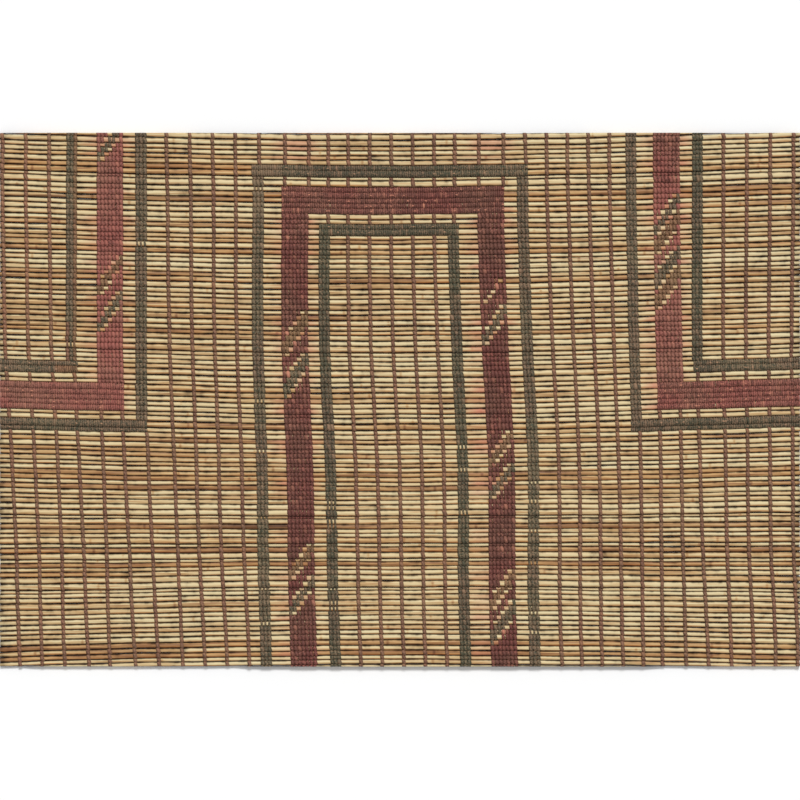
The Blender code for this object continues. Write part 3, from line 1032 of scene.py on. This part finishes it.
def list_bar(piece, dye, left, right, first, last):
    """Stitches of a band's bar: upright wraps packed along each of its stems."""
    middle = 0.5 * (first + last + 1) * REED_PITCH
    crossings = np.array([line(middle) for _, _, _, line in LANES])
    for row in range(first, last + 1):
        count = int((right - left) / BAR_PITCH)
        for step in range(count):
            across = left + (step + 0.5) * (right - left) / count
            crossed = np.abs(crossings - across).min() < 0.5 * BAR_PITCH
            bright = CROSSED_BRIGHT if crossed and dye == "green" else 0.0
            tan = piece == "green_left_corner" and row == TAN_ROW and across > TAN_AFTER
            shown = "tan" if tan else dye
            down = float(row_down(row, across))
            add_stitch(piece, "bar", shown, row, across, down, bright=bright)
            if draw.random() < DOT_CHANCES[0 if crossed else 1]:
                add_stitch(piece, "bar", dye, row, across, down, bright=DOT_BRIGHT, short=DOT_LENGTH)


print("a wrap every", round(BAR_PITCH / MM, 2), "mm along a bar")

# %% Arches
for name, left_top, left_foot, right_top, right_foot, width, first, last, pairs, dye in ARCHES:
    piece = dye + "_arch"
    list_bar(piece, dye, (left_top - 0.5 * width) * MM, (right_top + 0.5 * width) * MM, first, last)
    start = bar_down(left_top * MM, last + 1)
    for leg, top, foot in (("left", left_top, left_foot), ("right", right_top, right_foot)):
        path = lambda down: leaning(top * MM, foot * MM, start, MAT_LENGTH, down) + bow(top * MM, down)
        list_leg(piece, f"{name}_{leg}", dye, path, width * MM, pairs, last + 1, LAST_ROW)

# %% Corners
for name, side, top, foot, width, first, last, pairs, dye in CORNERS:
    piece = f"{dye}_{name.split('_')[0]}_corner"
    edge = (foot - side * 0.5 * width) * MM
    bar = (0.0, edge) if side < 0 else (edge, MAT_WIDTH)
    list_bar(piece, dye, *bar, first, last)
    end = bar_down(foot * MM, first)
    path = lambda down: leaning(top * MM, foot * MM, 0.0, end, down) + bow(top * MM, down)
    list_leg(piece, name, dye, path, width * MM, pairs, FIRST_ROW, first - 1)

for piece, kinds in places.items():
    print(piece, {" ".join(kind): len(rows) for kind, rows in kinds.items()})

# %% [markdown]
# ## The stitch itself
# A stitch is a flat strip of hide bent over a stem in a half circle. It starts in the gap above the
# stem, a little to the left, and ends in the gap below, a little to the right. Behind the stem lies the
# same form turned over. A geometry tree bends a short prism into that half circle and sets a copy on
# every listed place.

# %% Tree of the stitches


def bent_strip(tree, given, sides):
    """A prism bent over a stem: x across the strip, a half turn in y and z, waisted in the gaps."""
    prism_sizes = {"Vertices": sides, "Side Segments": 4, "Radius": 1.0, "Depth": 1.0}
    prism = add_node(tree, "GeometryNodeMeshCylinder", prism_sizes)
    outward, sideways, lengthwise = split(tree, "GeometryNodeInputPosition")
    turn = times(tree, lengthwise, math.pi)
    sine = calc(tree, "SINE", turn)
    cosine = calc(tree, "COSINE", turn)
    waist = times(tree, times(tree, sine, sine), given["Waist"])
    half_width = times(tree, times(tree, given["Strip Width"], 0.5), calc(tree, "SUBTRACT", 1.0, waist))
    aside = times(tree, times(tree, sideways, -1.0), half_width)
    x = calc(tree, "ADD", aside, times(tree, given["Slant"], sine))
    out = times(tree, times(tree, outward, 0.5), given["Strip Thickness"])
    long = calc(tree, "ADD", given["Reach Along"], out)
    high = calc(tree, "ADD", given["Reach Up"], out)
    y = times(tree, times(tree, long, sine), -1.0)
    z = times(tree, high, calc(tree, "POWER", cosine, given["Boxiness"]))
    bent = add_node(tree, "ShaderNodeCombineXYZ", {0: x, 1: y, 2: z}).outputs[0]
    mark = {"Geometry": prism.outputs["Mesh"], "Name": "crown", "Value": cosine}
    marked = add_node(tree, "GeometryNodeStoreNamedAttribute", mark).outputs[0]
    return add_node(tree, "GeometryNodeSetPosition", {"Geometry": marked, "Position": bent}).outputs[0]


def stitch_tree():
    """Sets a bent strip on every place: of five sides in front of the stem, of four behind it."""
    sizes = ("Reach Along", "Reach Up", "Strip Width", "Strip Thickness", "Slant", "Waist", "Boxiness")
    tree, start, result = geometry_group("lay_stitches", [(name, "Float", 0.001) for name in sizes])
    given = {socket.name: socket for socket in start.outputs}
    turn = stored(tree, "turn", "FLOAT_VECTOR")
    pull = stored(tree, "pull", "FLOAT_VECTOR")
    compared = {0: stored(tree, "behind"), 1: 0.5}
    is_behind = add_node(tree, "FunctionNodeCompare", compared, data_type="FLOAT", operation="GREATER_THAN")
    is_front = add_node(tree, "FunctionNodeBooleanMath", {0: is_behind.outputs[0]}, operation="NOT")
    together = add_node(tree, "GeometryNodeJoinGeometry")
    for chosen, sides in ((is_front, 5), (is_behind, 4)):
        copies = {
            "Points": given["Source"],
            "Selection": chosen.outputs[0],
            "Instance": bent_strip(tree, given, sides),
            "Rotation": turn,
            "Scale": pull,
        }
        laid = add_node(tree, "GeometryNodeInstanceOnPoints", copies)
        tree.links.new(laid.outputs[0], together.inputs[0])
    hand_over(tree, together.outputs[0], given["Finish"], result)
    return tree


STITCHES = stitch_tree()
SIZES = {
    "plain": {"Strip Width": 3.05 * MM, "Slant": 0.55 * MM, "Waist": 0.15},
    "leg": {"Strip Width": 3.3 * MM, "Slant": 0.45 * MM, "Waist": 0.32},
    "bar": {"Strip Width": 1.95 * MM, "Slant": 0.15 * MM, "Waist": 0.2},
}
USUAL_REACH = 0.5 * REACH_OVER * REED_PITCH
USUAL_RISE = 0.5 * (STEM_ROUNDNESS * REED_PITCH + STRIP_THICKNESS)
USUAL = {
    "Reach Along": USUAL_REACH,
    "Reach Up": USUAL_RISE,
    "Strip Thickness": STRIP_THICKNESS,
    "Boxiness": 0.75,
}
print("stitch tree ready")

# %% [markdown]
# ## Lay the stitches
# Every list of places becomes a cloud of loose points that carry the numbers. The tree runs once
# for each kind of stitch, and the results are joined into the piece they belong to.

# %% Build the leather pieces


def laid_mesh(rows, kind, dye):
    table = np.array(rows)
    mesh = bpy.data.meshes.new("places")
    mesh.from_pydata(table[:, :3].tolist(), [], [])
    behind, spin, wide, long, high, fade, blush = table[:, 3:].T
    store_numbers(mesh, {"behind": behind, "fade": fade, "blush": blush})
    turn = np.stack([0 * spin, math.pi * behind, spin], axis=1)
    pull = np.stack([wide, long / USUAL_REACH, high / USUAL_RISE], axis=1)
    store_numbers(mesh, {"turn": turn, "pull": pull}, "FLOAT_VECTOR")
    cloud = add_object("places", mesh)
    return grown(cloud, STITCHES, {**USUAL, **SIZES[kind], "Finish": LEATHER[dye]})


leather_pieces = {}
for piece_name, kinds in places.items():
    dyes = sorted({dye for _, dye in kinds})
    meshes = []
    for (kind, dye), rows in kinds.items():
        mesh = laid_mesh(rows, kind, dye)
        mesh.polygons.foreach_set("material_index", [dyes.index(dye)] * len(mesh.polygons))
        meshes.append(mesh)
    leather_pieces[piece_name] = finish_piece(piece_name, meshes, [LEATHER[dye] for dye in dyes])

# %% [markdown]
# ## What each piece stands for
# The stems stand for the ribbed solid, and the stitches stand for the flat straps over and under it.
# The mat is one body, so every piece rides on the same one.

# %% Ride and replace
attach(stems, "root")
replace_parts(stems, "reed_field")
for piece_name, piece in leather_pieces.items():
    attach(piece, "root")
for name in sorted(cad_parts):
    if name.startswith("lace_"):
        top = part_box(name)[0].x + 0.5 * (LACE_WIDTH + MAT_WIDTH)
        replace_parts(leather_pieces["laces_" + region_of(top)], name)
for name, *_, dye in ARCHES:
    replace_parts(leather_pieces[dye + "_arch"], "band_" + name)
for name, *_, dye in CORNERS:
    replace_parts(leather_pieces[f"{dye}_{name.split('_')[0]}_corner"], "band_" + name)
print(len(leather_pieces) + 1, "pieces ride on the mat's body")

# %% [markdown]
# ## Floor, light and camera
# The mat lies flat on a pale floor and is seen from straight above, a long way up. Soft daylight comes
# from beyond its head. It lights the upper side of every stem and leaves the furrows dark, so that the
# rows read.

# %% Floor
FLOOR_REACH = 3.0
floor_corners = [(x * FLOOR_REACH, y * FLOOR_REACH, 0) for x, y in ((-1, -1), (1, -1), (1, 1), (-1, 1))]
floor_mesh = bpy.data.meshes.new("floor")
floor_mesh.from_pydata(floor_corners, [], [(0, 1, 2, 3)])
floor = add_object("floor", floor_mesh)
floor_paint, _, floor_shader = new_material("pale_floor")
floor_shader.inputs["Base Color"].default_value = (0.88, 0.88, 0.88, 1)
floor_shader.inputs["Roughness"].default_value = 0.9
floor_mesh.materials.append(floor_paint)

# %% Light
KEY_HEIGHT = math.radians(52)
key = bpy.data.lights.new("key", "SUN")
key.energy = 2.5
key.angle = math.radians(16)
key_object = add_object("key", key)
key_object.rotation_euler = (-(0.5 * math.pi - KEY_HEIGHT), 0, math.radians(-8))
world = bpy.data.worlds.new("studio")
world.use_nodes = True
sky = world.node_tree.nodes["Background"]
sky.inputs[0].default_value = (1.0, 1.0, 1.0, 1)
sky.inputs[1].default_value = 0.52
bpy.context.scene.world = world
bpy.context.scene.view_settings.view_transform = "Standard"

# %% Camera
LENS = 100.0
SENSOR = 36.0
SHOWN_WIDTH = 599.4 * MM
camera = bpy.data.cameras.new("camera")
camera.lens = LENS
camera.sensor_width = SENSOR
camera_object = add_object("camera", camera)
camera_object.location = (0, -0.25 * MM, 5 * MM + SHOWN_WIDTH * LENS / SENSOR)
bpy.context.scene.camera = camera_object
print("camera", round(camera_object.location.z, 3), "m above the floor")
